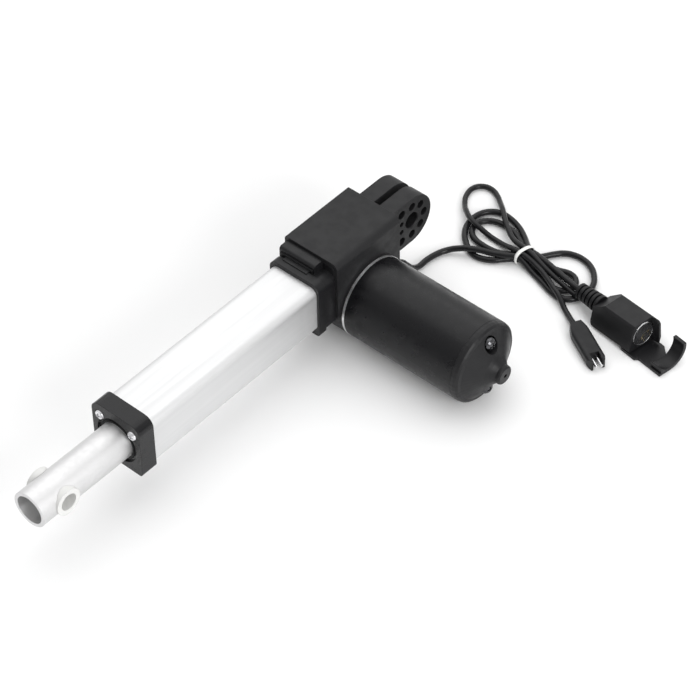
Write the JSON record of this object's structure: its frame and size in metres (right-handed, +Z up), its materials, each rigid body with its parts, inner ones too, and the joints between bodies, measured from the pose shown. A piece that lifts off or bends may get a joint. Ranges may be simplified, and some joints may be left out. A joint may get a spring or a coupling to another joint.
{
  "type": "linear actuator",
  "caption": "Worm-driven linear actuator with a side motor, square aluminium tube, round rod with cross bore, forked rear clevis and tied leads.",
  "frame": {"origin": "centre of the rear pivot bore, on the middle plane of the clevis", "axes": "+X along the rod towards its tip, +Y along the pivot bore and the motor axis towards the motor's end cap, +Z up"},
  "size_m": [0.3901, 0.1965, 0.0676],
  "materials": {
    "black_nylon": "moulded, fine grain",
    "black_nylon_collar": "moulded, smoother",
    "zinc_steel": "bright zinc",
    "silver_aluminium": "satin anodised",
    "black_cap": "moulded, semi gloss",
    "black_rubber": "matt",
    "white_plastic": "natural acetal",
    "silver_rod": "satin anodised",
    "translucent_nylon": "milky nylon",
    "nut_plastic": "natural acetal",
    "screw_steel": "rolled, greased",
    "bearing_steel": "ground",
    "board_green": "circuit board",
    "switch_black": "moulded",
    "plate_steel": "zinc plated",
    "motor_black": "satin black coating",
    "magnet": "ferrite",
    "lamination_steel": "stacked sheets",
    "copper_wire": "enamelled copper",
    "commutator_copper": "turned copper",
    "bronze": "sintered bronze",
    "holder_brown": "phenolic",
    "carbon": "carbon",
    "end_cap_black": "moulded, satin",
    "black_screw": "black oxide",
    "cord_black": "extruded PVC jacket",
    "tie_white": "plastic coated wire",
    "cord_moulding": "moulded PVC",
    "nickel_shell": "nickel plated",
    "insert_black": "moulded",
    "contact_brass": "plated brass",
    "clip_black": "moulded nylon",
    "plug_black": "moulded PVC"
  },
  "bodies": {
    "frame": {"rear_clevis": "black_nylon", "gear_housing": "black_nylon", "front_housing": "black_nylon_collar", "housing_screws": "zinc_steel", "outer_tube": "silver_aluminium", "front_cap": "black_cap", "cap_screws": "zinc_steel", "rod_wiper": "black_rubber", "rod_guide": "white_plastic", "rear_bearing": "bearing_steel", "front_bearing": "bearing_steel", "limit_board": "board_green", "limit_switches": "switch_black", "motor_plate": "plate_steel", "motor_can": "motor_black", "motor_magnets": "magnet", "motor_front_bush": "bronze", "worm_end_bush": "bronze", "motor_rear_bush": "bronze", "brush_holder": "holder_brown", "brushes": "carbon", "brush_springs": "zinc_steel", "motor_end_cap": "end_cap_black", "end_cap_screws": "black_screw", "cable_gland": "black_rubber", "main_cord": "cord_black", "cord_hank": "cord_black", "cable_tie": "tie_white", "socket_cord": "cord_black", "power_cord": "cord_black", "socket_strain_relief": "cord_moulding", "socket_housing": "cord_moulding", "socket_shell": "nickel_shell", "socket_insert": "insert_black", "socket_contacts": "contact_brass", "lock_clip": "clip_black", "power_plug": "plug_black", "power_plug_pins": "nickel_shell"},
    "rod": {"rod_tube": "silver_rod", "rod_bush_right": "translucent_nylon", "rod_bush_left": "translucent_nylon", "drive_nut": "nut_plastic", "nut_thread": "nut_plastic", "nut_pins": "zinc_steel"},
    "screw": {"lead_screw": "screw_steel", "screw_thread": "screw_steel", "screw_end_bush": "white_plastic", "screw_end_bolt": "zinc_steel", "worm_wheel": "nut_plastic", "wheel_pin": "zinc_steel"},
    "armature": {"armature_shaft": "screw_steel", "worm_thread": "screw_steel", "armature_core": "lamination_steel", "armature_windings": "copper_wire", "commutator": "commutator_copper"}
  },
  "joints": [
    {"name": "armature_spin", "type": "hinge", "parent": "frame", "child": "armature", "pos_m": [0.046, 0, -0.0212], "axis": [0, 1, 0], "range_deg": [0, 221760]},
    {"name": "screw_spin", "type": "hinge", "parent": "frame", "child": "screw", "pos_m": [0.1, 0, -0.0056], "axis": [1, 0, 0], "range_deg": [-10081, 1]},
    {"name": "rod_slide", "type": "slide", "parent": "frame", "child": "rod", "axis": [1, 0, 0], "range_m": [-0.00001, 0.11201]}
  ],
  "couplings": [
    {"joint": "screw_spin", "follows": "armature_spin", "ratio": -0.045455},
    {"joint": "rod_slide", "follows": "armature_spin", "m_per_rad": 0.000028937}
  ]
}
